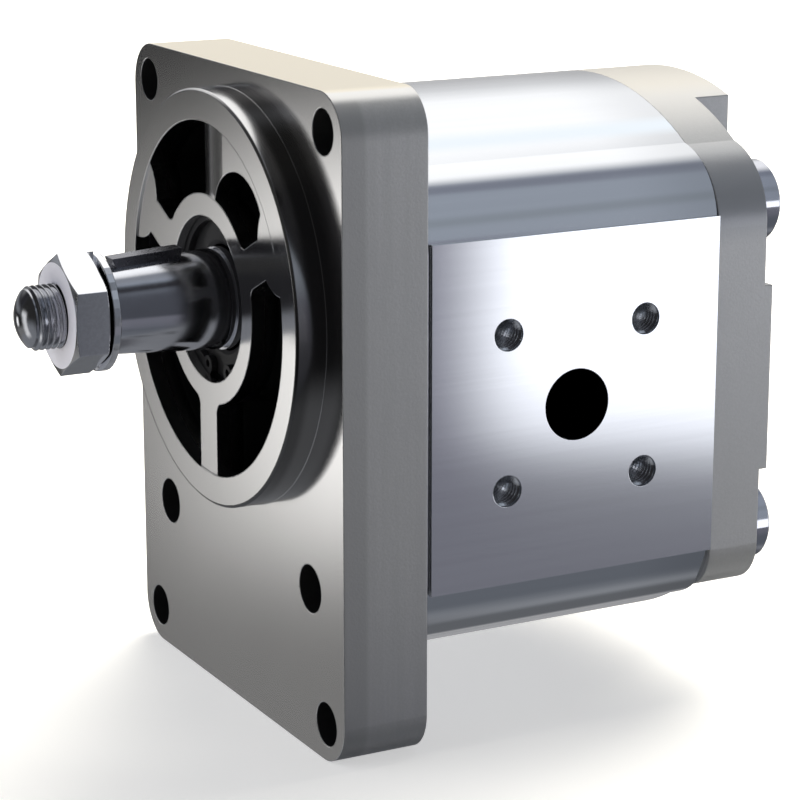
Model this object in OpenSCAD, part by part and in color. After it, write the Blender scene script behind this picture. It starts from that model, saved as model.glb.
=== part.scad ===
// External gear pump with a rectangular four-bolt flange, a ribbed centring pilot and a tapered shaft.
// The origin is the centre of the pilot on the mounting face, the shaft points to -Y and the pump lies to +Y.

/* [Flange] */
// How far the mounting flange stands past the body on each side
flange_step = 1.2; // [0:0.1:3]
// Height of the mounting flange
flange_h = 164; // [160:0.5:180]
// Thickness of the flange plate
flange_t = 22.5; // [20:0.5:30]
// Radius of the flange corners
flange_corner_r = 11; // [4:0.5:14]
// Distance of the mounting holes from the flange's sides
bolt_side = 9.6; // [8:0.1:12]
// Distance of the mounting holes from the flange's top and bottom
bolt_end = 9.5; // [8:0.1:12]
// Height of the upper mounting holes above the shaft
bolt_top = 48.4; // [46:0.1:52]
// Diameter of the mounting holes
bolt_hole_d = 11; // [8:0.5:13]

/* [Pilot] */
// Diameter of the centring pilot
pilot_d = 105; // [100:0.5:108]
// Height of the pilot above the mounting face
pilot_h = 7.8; // [6:0.1:10]
// Chamfer on the outer edge of the pilot
pilot_chamfer = 0.5; // [0.2:0.1:1]
// Width of the pilot's outer ring
ring_w = 7.8; // [5:0.2:9]
// How far the ribs and the hub lie below the ring
rib_recess = 0.5; // [0.4:0.1:2]
// Width of each rib
rib_w = 10; // [6:0.5:14]
// Fillet where a rib meets the hub
rib_fillet = 3; // [1:0.5:4]
// Wall of the hub round the shaft seal
hub_wall = 5.6; // [4.5:0.1:8]
// Depth of the cast pockets below the ribs
pocket_depth = 17; // [10:0.5:20]
// Radius of the screw bosses that the upper ribs end in
pilot_boss_r = 12; // [10.5:0.5:13]
// Where the drain boss's flat top begins, beside the pump's middle plane
drain_x = 11; // [6:0.5:14]
// Thickness of the drain boss under the ring, above the hollow
drain_wall = 10; // [7:0.5:12]
// Radius of the hollow under the drain boss
drain_hollow_r = 15; // [12:0.5:17]
// Distance of that hollow from the pump's middle plane
drain_hollow_x = 19; // [16:0.5:21]
// Radius of the drain boss's long curved flank
drain_flank_r = 48; // [40:1:80]
// Width of that flank
drain_flank_w = 21; // [16:0.5:24]

/* [Body] */
// Length of the pump body
body_len = 82.5; // [76:0.5:100]
// Width across the extruded sides, without the port faces
body_w = 118.8; // [116:0.2:124]
// Height of the body over its crowns
body_h = 143.4; // [140:0.2:150]
// Radius of the crowned top and bottom
crown_r = 83; // [75:1:100]
// Radius of the long corners of the body and the cover
corner_r = 19.6; // [16:0.2:22]
// How far a corner stands past the line of the crown
corner_rise = 1.5; // [0.6:0.1:2.5]
// Radius of the hollow between a crown and a corner
valley_r = 4; // [2:0.5:7]
// Height of each flat port face
port_face_h = 86.4; // [70:0.2:88]
// How far a port face stands out of the body's side
port_face_proud = 0.9; // [0.4:0.1:1.5]
// Gap between a port face and the flange
port_face_gap = 1.3; // [0.5:0.1:3]

/* [Ports] */
// Distance of the ports from the mounting face
port_y = 64.2; // [60:0.1:68]
// Diameter of the pressure port
pressure_port_d = 18; // [12:0.5:22]
// Diameter of the suction port
suction_port_d = 27; // [20:0.5:30]
// Depth of each port's full bore
port_depth = 24; // [16:0.5:30]
// Diameter of the passage behind a port, as a share of the port's
throat_share = 0.84; // [0.6:0.01:0.95]
// Side of the square pattern of the port's tapped holes
port_pitch = 38.9; // [36:0.1:42]
// Thread diameter of the port's tapped holes
port_thread_d = 8; // [6:1:10]
// Depth of the port's tapped holes
port_thread_depth = 15; // [10:0.5:18]

/* [Rear cover] */
// Thickness of the rear cover at the screws
cover_t = 14.6; // [12:0.2:18]
// How far the middle pad stands behind the cover's corners
cover_pad_t = 2.3; // [1:0.1:4]
// Height of the cover's middle pad
cover_pad_h = 48; // [36:1:52]
// Distance from the lower screws down to the cover's flat bottom
cover_foot = 13.2; // [12:0.2:16]
// Radius of the cover's lower corners
cover_foot_r = 12; // [8:0.5:13]
// How far the spine stands behind the cover's corners
spine_t = 10.4; // [6:0.2:14]
// Width of the spine
spine_w = 53; // [40:1:58]
// How far the cover stands past the body on each side
cover_step = 0.4; // [0:0.1:1]

/* [Screws and pins] */
// Side of the square pattern of the cover screws
screw_pitch = 85; // [82:0.2:87]
// Thread diameter of the cover screws
screw_d = 14; // [10:0.5:16]
// Core diameter of the screw thread
screw_core_d = 12; // [9:0.1:13]
// Diameter of the screw heads
head_d = 21; // [17:0.5:24]
// Height of the screw heads
head_h = 14; // [9:0.5:16]
// Across flats of the screw's hexagon socket
socket_af = 12; // [6:0.5:14]
// Depth of the screw's hexagon socket
socket_depth = 7; // [4:0.5:9]
// Length of the screw's thread in the flange
screw_bite = 16; // [10:0.5:18]
// Diameter of the dowel pins
dowel_d = 6; // [4:0.5:8]
// Length of the dowel pins
dowel_len = 12; // [8:0.5:14]
// Distance of the dowel pins from the middle plane
dowel_x = 46; // [42:0.5:50]

/* [Gears] */
// Module of the gears
gear_module = 4; // [3.8:0.05:4.2]
// Number of teeth on each gear
gear_teeth = 11; // [9:2:13]
// Working pressure angle of the teeth in degrees
pressure_angle = 25; // [23:0.5:27]
// Width of the gears
gear_w = 34.4; // [28:0.2:44]
// Clearance between a tooth tip and the other gear's root
root_clear = 0.8; // [0.4:0.1:1.2]
// Play between the teeth, measured on the pitch circle
backlash = 0.2; // [0.1:0.02:0.4]

/* [Shaft] */
// Diameter of the gear journals
journal_d = 26; // [22:0.5:28]
// Diameter of the taper's big end
taper_d = 25.4; // [21:0.1:25.8]
// Length of the taper
taper_len = 29.7; // [24:0.1:34]
// Taper as one part in this length
taper_ratio = 8; // [5:1:12]
// Distance of the taper's big end in front of the mounting face
taper_start = 6; // [4:0.5:8]
// Diameter of the shaft thread
thread_d = 16; // [12:0.5:18]
// Length of the shaft thread, up to the domed end
thread_len = 18.3; // [17:0.1:26]
// Height of the domed end
dome_h = 3.4; // [1:0.1:4]
// Width of the woodruff key
key_w = 5; // [3:0.5:6]
// Diameter of the disc that the key is cut from
key_disc_d = 19; // [16:0.5:22]
// Height of the key
key_h = 7.5; // [5:0.5:9]
// How far the key stands out of the taper
key_proud = 2; // [1:0.1:3]
// Across flats of the shaft nut
nut_af = 26.4; // [24:0.2:28]
// Thickness of the shaft nut
nut_t = 8.8; // [6:0.1:10]
// Outer diameter of the spring washer
washer_d = 29.4; // [26:0.2:32]
// Thickness of the spring washer
washer_t = 1.8; // [1.4:0.1:3.2]
// Rise of the spring washer from one end to the other
washer_rise = 0.4; // [0.3:0.1:1.6]

/* [Bearings and seals] */
// Wall of the bearing bushes
bush_wall = 2; // [1:0.25:3]
// Depth of the seal grooves in the bearing blocks
block_groove_depth = 2.5; // [1.5:0.1:4]
// Width of the pressure seals
pressure_seal_w = 2.6; // [2:0.1:3]
// Width of the backup rings
backup_w = 1; // [0.6:0.1:1.2]
// Section diameter of the body seals
body_seal_d = 2.4; // [1.8:0.1:3]
// Distance from the gear bores to the middle of the body seals
body_seal_wall = 5; // [4:0.2:6]
// Outer diameter of the shaft seal
shaft_seal_d = 42; // [40:0.5:43]
// Width of the shaft seal
shaft_seal_w = 8; // [7:0.5:9]
// Depth of the shaft seal below the hub's face
shaft_seal_inset = 4.4; // [3:0.1:6]
// Thickness of the seal's retaining ring
retainer_t = 1.75; // [1.2:0.05:2]

/* [Clearances] */
// Radial running clearance of the journals in the bushes
run_clear = 0.03; // [0.02:0.01:0.08]
// Radial clearance of the gear tips and the bearing blocks in the body
tip_clear = 0.05; // [0.03:0.01:0.1]
// Axial clearance on each side of the gears
side_clear = 0.05; // [0.03:0.01:0.2]
// Clearance of the cover screws and the loose fits
loose_clear = 0.25; // [0.1:0.05:0.5]
// Clearance of parts that are pressed in or held tight
snug_clear = 0.01; // [0:0.01:0.03]

/* [Hidden] */
$fn = 64;
// Small length that lets a cut run past a face
eps = 0.5;
// Overlap of a crown with the corner beside it
crown_lap = 3;
// Distance of the spine's lower end above the cover's lower edge
spine_foot = 1;
// Small crossing of a fillet with the faces that it joins
fillet_lap = 0.05;
// Depth of the snap ring groove in the wall of the hub
snap_depth = 1.25;
// Room beside the retaining ring in its groove
snap_play = 0.1;
// Gap between the journal and the hole behind the shaft seal
seal_back_gap = 1;
// Depth of the blind screw holes past the screws
tap_runout = 3;
// Thickness of the pads under the port faces
pad_depth = 10;
// Half width of the body seal grooves against the seal's diameter
seal_groove_ratio = 0.7;
// Distance of the seal loops inside the gear bores
loop_inset = 2.8;
// How far each bush stays inside its bearing block
bush_inset = 0.5;
// Gap between a journal's end and the cover
journal_gap = 0.6;
// How far the screw heads stay below the back of the spine
head_sink = 1;
// Chamfer on heads, thread ends and pins
small_chamfer = 0.8;
// Slope of the chamfers on the nut's corners
nut_bevel = 15;
// Gap left at each end of a dowel pin
dowel_gap = 0.3;
// Distance of the key's middle from the taper's middle, towards the thread
key_shift = 2.9;
// Height above the shaft at which the drain boss begins
drain_z = 22.5;

flange_w = body_w + 2 * flange_step;
cover_w = body_w + 2 * cover_step;
bolt_w = flange_w - 2 * bolt_side;
bolt_h = flange_h - 2 * bolt_end;
gear_gap = gear_module * gear_teeth;
mid_z = -gear_gap / 2;
gear_bore_r = gear_gap / 2 + gear_module;
tip_r = gear_bore_r - tip_clear;
root_r = gear_gap - gear_bore_r - root_clear;
journal_r = journal_d / 2;
body_y0 = flange_t;
body_y1 = flange_t + body_len;
gear_y0 = body_y0 + (body_len - gear_w) / 2;
gear_y1 = gear_y0 + gear_w;
ring_in_r = pilot_d / 2 - ring_w;
rib_y = rib_recess - pilot_h;
pocket_y = rib_y + pocket_depth;
hub_r = shaft_seal_d / 2 + hub_wall;
screw_z = mid_z + screw_pitch / 2;
cover_low = screw_pitch / 2 + cover_foot;
rib_turn = atan2(screw_z, screw_pitch / 2);
taper_end = -taper_start - taper_len;
thread_end = taper_end - thread_len;
taper_lean = atan(1 / (2 * taper_ratio));
seal_y0 = rib_y + shaft_seal_inset;
seal_y1 = seal_y0 + shaft_seal_w;
bush_r = journal_r + run_clear + bush_wall;
cover_y1 = body_y1 + cover_t;
spine_y1 = cover_y1 + spine_t;
head_y0 = spine_y1 - head_sink - head_h;
screw_tip = flange_t - screw_bite;
block_len = (body_len - gear_w) / 2 - side_clear;
loop_out_r = gear_bore_r - loop_inset;
loop_mid_r = loop_out_r - pressure_seal_w;
loop_in_r = loop_mid_r - backup_w - 2 * snug_clear;

alloy = [0.74, 0.75, 0.76];
cast = [0.60, 0.61, 0.61];
steel = [0.42, 0.43, 0.46];
rubber = [0.08, 0.08, 0.09];
nylon = [0.85, 0.83, 0.76];
bronze = [0.62, 0.45, 0.25];

// Carries a drawing in X and Z from y0 to y1 along the pump
module slab(y0, y1) {
    translate([0, y1, 0])
        rotate([90, 0, 0])
            linear_extrude(y1 - y0)
                children();
}

// Turns a drawing of radius and height about the shaft's line, where the height counts towards -Y
module turned(z = 0) {
    translate([0, 0, z])
        rotate([90, 0, 0])
            rotate_extrude()
                children();
}

// Round hole or bar along Y
module bar(r, y0, y1, x = 0, z = 0) {
    translate([x, y1, z])
        rotate([90, 0, 0])
            cylinder(r = r, h = y1 - y0);
}

// Round hole or bar along X
module cross_bar(r, x0, x1, y, z) {
    translate([x0, y, z])
        rotate([0, 90, 0])
            cylinder(r = r, h = x1 - x0);
}

// Places its children at the four cover screws
module at_screws() {
    for (sx = [-1, 1], sz = [-1, 1])
        translate([sx * screw_pitch / 2, 0, mid_z + sz * screw_pitch / 2])
            children();
}

// Puts its children on both gear axes
module on_axes() {
    children();
    translate([0, -gear_gap])
        children();
}

// Outline of the two gear bores grown by some amount
module bores_2d(r) {
    on_axes() circle(r = r);
}

// Rectangle with round corners about its own middle
module round_rect(w, h, r) {
    square([w - 2 * r, h], center = true);
    square([w, h - 2 * r], center = true);
    for (sx = [-1, 1], sy = [-1, 1])
        translate([sx * (w / 2 - r), sy * (h / 2 - r)])
            circle(r = r);
}

// Lens shape between the top and the bottom crown
module crowns_2d(w) {
    intersection() {
        translate([0, body_h / 2 - crown_r])
            circle(r = crown_r, $fn = 180);
        translate([0, crown_r - body_h / 2])
            circle(r = crown_r, $fn = 180);
        square([w, body_h + 2], center = true);
    }
}

// Middle of the arc of radius f that touches two circles from outside, on the side of bigger x
function valley_mid(a, ra, b, rb, f) =
    let (d = norm(b - a), u = (b - a) / d,
        t = (d * d + pow(ra + f, 2) - pow(rb + f, 2)) / (2 * d),
        s = sqrt(pow(ra + f, 2) - t * t))
    a + t * u + s * [-u[1], u[0]];

// Fills the hollow between two circles with a concave arc of radius f
module valley(a, ra, b, rb, f) {
    m = valley_mid(a, ra, b, rb, f);
    difference() {
        polygon([a, a + (m - a) * ra / (ra + f), m, b + (m - b) * rb / (rb + f), b]);
        translate(m) circle(r = f + fillet_lap);
    }
}

// Middle of the corner arcs of an outline of width w, which cross the crown's circle at this distance
corner_far = crown_r - corner_r + corner_rise;
crown_mid = body_h / 2 - crown_r;
function corner_x(w) = w / 2 - corner_r;
function corner_z(w) = crown_mid + sqrt(pow(corner_far, 2) - pow(corner_x(w), 2));

// Outline at width w: four corners round the screws and a crown at each end
module outline_2d(w) {
    x = corner_x(w);
    turn = acos((pow(crown_r, 2) - pow(corner_far, 2) - pow(corner_r, 2)) / (2 * corner_far * corner_r));
    cross_x = x + corner_r * cos(acos(x / corner_far) + turn);
    round_rect(w, 2 * (corner_z(w) + corner_r), corner_r);
    for (end = [0, 1])
        mirror([0, end]) {
            intersection() {
                crowns_2d(2 * (cross_x + crown_lap));
                translate([-w / 2, 0]) square([w, body_h]);
            }
            for (side = [0, 1])
                mirror([side, 0])
                    valley([0, crown_mid], crown_r, [x, corner_z(w)], corner_r, valley_r);
        }
}

// The cover's outline: above the middle like the body's, below it straight down to a flat bottom
module cover_2d() {
    intersection() {
        outline_2d(cover_w);
        translate([-cover_w / 2, 0]) square([cover_w, body_h]);
    }
    translate([0, (cover_foot_r - cover_low) / 2])
        round_rect(cover_w, cover_low + cover_foot_r, cover_foot_r);
}

// Corner that a rib's fillet fills between its side and the hub, for one side of a rib along +X
module rib_corner() {
    y = rib_w / 2 + rib_fillet;
    x = sqrt(pow(hub_r + rib_fillet, 2) - y * y);
    difference() {
        polygon([[0, 0], [x, 0], [x, y], [x, y] * hub_r / (hub_r + rib_fillet)]);
        translate([x, y]) circle(r = rib_fillet + fillet_lap);
    }
}

// What stands inside the pilot ring: the hub, three ribs and the bosses of the two upper screws
module spider_2d() {
    circle(r = hub_r);
    for (a = [rib_turn, 180 - rib_turn, -90])
        rotate(a) {
            translate([0, -rib_w / 2]) square([ring_in_r + eps, rib_w]);
            rib_corner();
            mirror([0, 1]) rib_corner();
        }
    for (sx = [-1, 1])
        translate([sx * screw_pitch / 2, screw_z])
            circle(r = pilot_boss_r);
}

// Land beside the top right pocket that carries the seal's drain passage, with a long curved flank
module drain_boss() {
    intersection() {
        slab(rib_y - eps, pocket_y + eps)
            difference() {
                circle(r = ring_in_r + eps);
                translate([drain_hollow_x, ring_in_r - drain_wall - drain_hollow_r])
                    circle(r = drain_hollow_r);
            }
        translate([0, 0, drain_z])
            linear_extrude(ring_in_r)
                intersection() {
                    union() {
                        translate([drain_x, rib_y + drain_flank_r])
                            circle(r = drain_flank_r, $fn = 180);
                        translate([drain_x, rib_y - 2 * eps])
                            square([ring_in_r, drain_flank_r]);
                    }
                    translate([drain_x - drain_flank_w, rib_y - 2 * eps])
                        square([ring_in_r + drain_flank_w, pocket_depth + 4 * eps]);
                }
    }
}

module front_cover() {
    color(cast)
    difference() {
        union() {
            slab(0, flange_t)
                translate([0, bolt_top - bolt_h / 2])
                    round_rect(flange_w, flange_h, flange_corner_r);
            turned()
                polygon([[0, -flange_t / 2], [pilot_d / 2, -flange_t / 2],
                    [pilot_d / 2, pilot_h - pilot_chamfer],
                    [pilot_d / 2 - pilot_chamfer, pilot_h], [0, pilot_h]]);
        }
        bar(ring_in_r, -pilot_h - eps, rib_y);
        difference() {
            bar(ring_in_r, rib_y - eps / 2, pocket_y);
            slab(rib_y - eps, pocket_y + eps) spider_2d();
            drain_boss();
        }
        bar(shaft_seal_d / 2, rib_y - eps, seal_y1);
        bar(shaft_seal_d / 2 + snap_depth, seal_y0 - retainer_t - snap_play, seal_y0);
        bar(journal_r + seal_back_gap, seal_y1 - eps, flange_t + eps);
        for (sx = [-1, 1], sz = [0, 1])
            bar(bolt_hole_d / 2, -eps, flange_t + eps, sx * bolt_w / 2, bolt_top - sz * bolt_h);
        for (sx = [-1, 1]) {
            core_r = screw_core_d / 2 + snug_clear;
            bar(core_r, -eps, flange_t + eps, sx * screw_pitch / 2, mid_z - screw_pitch / 2);
            bar(core_r, screw_tip - tap_runout, flange_t + eps, sx * screw_pitch / 2, screw_z);
            bar(dowel_d / 2 + snug_clear, flange_t - dowel_len / 2, flange_t + eps, sx * dowel_x, mid_z);
        }
    }
}

// Ring of square section that the body seal lies in
module seal_groove(y0, y1) {
    slab(y0, y1)
        difference() {
            bores_2d(gear_bore_r + body_seal_wall + body_seal_d * seal_groove_ratio);
            bores_2d(gear_bore_r + body_seal_wall - body_seal_d * seal_groove_ratio);
        }
}

module body() {
    depth = body_seal_d + 2 * snug_clear;
    face_x = body_w / 2 + port_face_proud;
    color(alloy)
    difference() {
        union() {
            translate([0, 0, mid_z])
                slab(body_y0, body_y1)
                    outline_2d(body_w);
            for (sx = [-1, 1])
                translate([sx * (face_x - pad_depth / 2), (body_y0 + port_face_gap + body_y1) / 2, mid_z])
                    cube([pad_depth, body_len - port_face_gap, port_face_h], center = true);
        }
        slab(body_y0 - eps, body_y1 + eps) bores_2d(gear_bore_r);
        cross_bar(pressure_port_d / 2, face_x - port_depth, face_x + eps, port_y, mid_z);
        cross_bar(pressure_port_d / 2 * throat_share, 0, face_x, port_y, mid_z);
        cross_bar(suction_port_d / 2, -face_x - eps, port_depth - face_x, port_y, mid_z);
        cross_bar(suction_port_d / 2 * throat_share, -face_x, 0, port_y, mid_z);
        for (sx = [-1, 1], sy = [-1, 1], sz = [-1, 1]) {
            inner_x = face_x - port_thread_depth;
            cross_bar(port_thread_d / 2, sx > 0 ? inner_x : -face_x - eps, sx > 0 ? face_x + eps : -inner_x,
                port_y + sy * port_pitch / 2, mid_z + sz * port_pitch / 2);
        }
        at_screws() bar(screw_d / 2 + loose_clear, body_y0 - eps, body_y1 + eps);
        seal_groove(body_y0 - eps, body_y0 + depth);
        seal_groove(body_y1 - depth, body_y1 + eps);
        for (sx = [-1, 1]) {
            bar(dowel_d / 2 + snug_clear, body_y0 - eps, body_y0 + dowel_len / 2, sx * dowel_x, mid_z);
            bar(dowel_d / 2 + snug_clear, body_y1 - dowel_len / 2, body_y1 + eps, sx * dowel_x, mid_z);
        }
    }
}

module rear_cover() {
    color(cast)
    difference() {
        translate([0, 0, mid_z]) {
            slab(body_y1, cover_y1) cover_2d();
            slab(cover_y1 - eps, cover_y1 + cover_pad_t)
                square([cover_w, cover_pad_h], center = true);
            slab(cover_y1 - eps, spine_y1)
                intersection() {
                    crowns_2d(spine_w);
                    translate([-spine_w, spine_foot - cover_low])
                        square([2 * spine_w, 2 * body_h]);
                }
        }
        at_screws() {
            bar(screw_d / 2 + loose_clear, body_y1 - eps, spine_y1 + eps);
            bar(head_d / 2 + 2 * loose_clear, head_y0, spine_y1 + eps);
        }
        for (sx = [-1, 1])
            bar(dowel_d / 2 + snug_clear, body_y1 - eps, body_y1 + dowel_len / 2, sx * dowel_x, mid_z);
    }
}

// Involute of the base circle: how far the flank has turned at radius r, in degrees
base_r = gear_gap / 2 * cos(pressure_angle);
function involute_turn(r) = let (a = acos(min(1, base_r / r))) tan(a) * 180 / PI - a;
function half_tooth(r) = (90 - backlash / gear_gap * 180 / PI) / gear_teeth
    + involute_turn(gear_gap / 2) - involute_turn(max(r, base_r));
function polar(r, a) = [r * cos(a), r * sin(a)];

// One tooth about the angle a: root, rising flank, tip and falling flank
flank_steps = 7;
root_fillet = 1.2;
function tooth(a) = let (
        low = max(base_r, root_r + root_fillet),
        rise = [for (i = [0:flank_steps]) low + (tip_r - low) * i / flank_steps])
    concat(
        [polar(root_r, a - 180 / gear_teeth)],
        [polar(root_r, a - half_tooth(low) - 3.2)],
        [polar(root_r + root_fillet * 0.35, a - half_tooth(low) - 0.9)],
        [for (r = rise) polar(r, a - half_tooth(r))],
        [polar(tip_r, a)],
        [for (i = [flank_steps:-1:0]) polar(rise[i], a + half_tooth(rise[i]))],
        [polar(root_r + root_fillet * 0.35, a + half_tooth(low) + 0.9)],
        [polar(root_r, a + half_tooth(low) + 3.2)]);

module gear_2d() {
    polygon([for (k = [0:gear_teeth - 1], p = tooth(-90 + k * 360 / gear_teeth)) p]);
}

// Places its children on the top of the taper, above the middle of the key
module at_key() {
    key_y = (taper_end - taper_start) / 2 - key_shift;
    translate([0, key_y, taper_d / 2 + (key_y + taper_start) / (2 * taper_ratio)])
        rotate([taper_lean, 0, 0])
            children();
}

// Disc that cuts the keyseat and makes the key, standing square to the taper
module key_disc(r, w) {
    at_key()
        translate([-w / 2, 0, key_disc_d / 2 - key_h + key_proud])
            rotate([0, 90, 0])
                cylinder(r = r, h = w);
}

module drive_gear() {
    taper_small_r = taper_d / 2 - taper_len / (2 * taper_ratio);
    relief = 1.2;
    dome_base = thread_d / 2 - small_chamfer;
    dome_r = (dome_base * dome_base + dome_h * dome_h) / (2 * dome_h);
    color(steel)
    difference() {
        union() {
            slab(gear_y0, gear_y1) gear_2d();
            turned()
                polygon([[0, -gear_y0 - 1], [journal_r, -gear_y0 - 1], [journal_r, taper_start - 1.5],
                    [taper_d / 2 - 0.4, taper_start - 1.5], [taper_d / 2 - 0.4, taper_start],
                    [taper_d / 2, taper_start],
                    [taper_small_r, -taper_end], [thread_d / 2 - 1, -taper_end],
                    [thread_d / 2 - 1, -taper_end + relief], [thread_d / 2, -taper_end + relief],
                    [thread_d / 2, -thread_end - small_chamfer], [dome_base, -thread_end], [0, -thread_end]]);
            turned()
                intersection() {
                    translate([0, -thread_end + dome_h - dome_r]) circle(r = dome_r, $fn = 96);
                    translate([0, -thread_end - 0.2]) square([dome_base - 0.02, dome_h + 1]);
                }
            bar(journal_r, gear_y1 - 1, body_y1 - journal_gap);
        }
        key_disc(key_disc_d / 2 + snug_clear, key_w + 2 * snug_clear);
    }
}

module driven_gear() {
    color(steel)
    translate([0, 0, -gear_gap]) {
        slab(gear_y0, gear_y1) gear_2d();
        bar(journal_r, body_y0 + journal_gap, body_y1 - journal_gap);
    }
}

// Loop round both journals that is open towards the suction side, like a figure three
module loop_2d(inner, outer) {
    intersection() {
        difference() {
            bores_2d(outer);
            bores_2d(inner);
        }
        translate([-gear_bore_r * 0.6, -gear_gap - gear_bore_r])
            square([gear_bore_r * 2, gear_gap + 2 * gear_bore_r]);
    }
}

// Floating bearing block from y0 to y1, with its seal grooves in the face at groove_y
module bearing_block(y0, y1, groove_y0, groove_y1) {
    color(bronze)
    difference() {
        slab(y0, y1) bores_2d(tip_r);
        slab(y0 - eps, y1 + eps) bores_2d(bush_r + snug_clear);
        slab(groove_y0, groove_y1) loop_2d(loop_in_r - snug_clear, loop_out_r + snug_clear);
    }
}

module front_bearing_block() {
    bearing_block(body_y0, body_y0 + block_len, body_y0 - eps, body_y0 + block_groove_depth);
}

module rear_bearing_block() {
    bearing_block(body_y1 - block_len, body_y1, body_y1 - block_groove_depth, body_y1 + eps);
}

// Rolled bush with a thin lining, from y0 to y1
module bush(y0, y1, z) {
    color(bronze)
    difference() {
        bar(bush_r, y0, y1, 0, z);
        bar(journal_r + run_clear, y0 - eps, y1 + eps, 0, z);
    }
}

module front_drive_bush() {
    bush(body_y0 + bush_inset, body_y0 + block_len - bush_inset, 0);
}

module front_driven_bush() {
    bush(body_y0 + bush_inset, body_y0 + block_len - bush_inset, -gear_gap);
}

module rear_drive_bush() {
    bush(body_y1 - block_len + bush_inset, body_y1 - bush_inset, 0);
}

module rear_driven_bush() {
    bush(body_y1 - block_len + bush_inset, body_y1 - bush_inset, -gear_gap);
}

module front_pressure_seal() {
    color(rubber)
    slab(body_y0, body_y0 + block_groove_depth) loop_2d(loop_mid_r, loop_out_r);
}

module rear_pressure_seal() {
    color(rubber)
    slab(body_y1 - block_groove_depth, body_y1) loop_2d(loop_mid_r, loop_out_r);
}

module front_backup_ring() {
    color(nylon)
    slab(body_y0, body_y0 + block_groove_depth) loop_2d(loop_in_r, loop_mid_r - 2 * snug_clear);
}

module rear_backup_ring() {
    color(nylon)
    slab(body_y1 - block_groove_depth, body_y1) loop_2d(loop_in_r, loop_mid_r - 2 * snug_clear);
}

// Round cord that follows both gear bores, in the middle of its groove at y
module body_seal(y) {
    lobe = gear_bore_r + body_seal_wall;
    color(rubber)
    for (side = [0, 1])
        intersection() {
            translate([0, y, -side * gear_gap])
                rotate([90, 0, 0])
                    rotate_extrude()
                        translate([lobe, 0])
                            circle(d = body_seal_d);
            translate([0, y, mid_z + (side == 0 ? 1 : -1) * 2 * lobe])
                cube([4 * lobe, 4 * body_seal_d, 4 * lobe], center = true);
        }
}

module front_body_seal() {
    body_seal(body_y0 + body_seal_d / 2 + snug_clear);
}

module rear_body_seal() {
    body_seal(body_y1 - body_seal_d / 2 - snug_clear);
}

// Rubber covered case with a sprung lip that rides on the journal
module shaft_seal() {
    r = shaft_seal_d / 2 - snug_clear;
    lip = journal_r + run_clear;
    front = -seal_y0;
    back = -seal_y1;
    color(rubber)
    turned()
        polygon([[r, back], [r, front - 0.4], [r - 0.4, front], [lip + 1.4, front], [lip + 0.4, front - 0.5],
            [lip + 1.2, front - 1.6], [lip + 1.6, front - 2.4], [lip + 0.5, back + 3.2], [lip, back + 2.6],
            [lip + 0.6, back + 0.9], [lip + 2.2, back + 0.9], [lip + 2.2, back + 1.5],
            [lip + 1.4, back + 1.8], [lip + 1.4, back + 3.4], [lip + 2.6, back + 3.4],
            [lip + 3.4, front - 1.6], [r - 1.2, front - 1.6], [r - 1.2, back]]);
}

module seal_spring() {
    color(steel)
    translate([0, seal_y1 - 2.6, 0])
        rotate([90, 0, 0])
            rotate_extrude()
                translate([journal_r + run_clear + 2.1, 0])
                    circle(d = 1.3);
}

// Inner snap ring that keeps the shaft seal in the hub
module seal_retaining_ring() {
    r = shaft_seal_d / 2 + snap_depth - 2 * snug_clear;
    gap = 9;
    color(steel)
    slab(seal_y0 - retainer_t, seal_y0)
        difference() {
            union() {
                difference() {
                    circle(r = r);
                    translate([0, 0.5]) circle(r = r - 3.2);
                    translate([-gap / 2, -r - 1]) square([gap, r]);
                }
                for (sx = [-1, 1])
                    translate([sx * (gap / 2 + 1.4), -r + 3.9]) circle(r = 2.4);
            }
            for (sx = [-1, 1])
                translate([sx * (gap / 2 + 1.4), -r + 4.2]) circle(r = 1);
        }
}

module woodruff_key() {
    color(steel)
    intersection() {
        key_disc(key_disc_d / 2, key_w);
        key_block();
    }
}

// Block below the flat top of the key
module key_block() {
    at_key()
        translate([-key_w, -key_disc_d, key_proud - 2 * key_h])
            cube([2 * key_w, 2 * key_disc_d, 2 * key_h]);
}

// One turn of flat spring steel with its ends apart, made of stations along a helix
module spring_washer() {
    n = 40;
    cut = 7;
    inner = thread_d / 2 + 0.35;
    outer = washer_d / 2;
    y0 = taper_end - 0.25;
    ring = [for (i = [0:n]) let (a = 90 - cut - (360 - 2 * cut) * i / n, y = y0 - washer_rise * i / n)
        for (q = [[inner, 0], [outer, 0], [outer, washer_t], [inner, washer_t]])
            [q[0] * cos(a), y - q[1], q[0] * sin(a)]];
    sides = [for (i = [0:n - 1], k = [0:3]) let (m = (k + 1) % 4)
        [4 * i + k, 4 * i + m, 4 * i + 4 + m, 4 * i + 4 + k]];
    color(steel)
    polyhedron(ring, concat(sides, [[3, 2, 1, 0], [4 * n, 4 * n + 1, 4 * n + 2, 4 * n + 3]]), convexity = 4);
}

module shaft_nut() {
    y1 = taper_end - 0.25 - washer_t - washer_rise - 0.1;
    corner = nut_af / sqrt(3);
    flat = nut_af / 2 - 0.3;
    bevel = (corner - flat) * tan(nut_bevel);
    color(steel)
    translate([0, y1, 0])
        rotate([90, 0, 0])
            difference() {
                intersection() {
                    rotate(90) cylinder(r = corner, h = nut_t, $fn = 6);
                    rotate_extrude()
                        polygon([[0, 0], [flat, 0], [corner + 0.1, bevel], [corner + 0.1, nut_t - bevel],
                            [flat, nut_t], [0, nut_t]]);
                }
                translate([0, 0, -eps])
                    cylinder(r = thread_d / 2 + snug_clear, h = nut_t + 2 * eps);
            }
}

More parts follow.
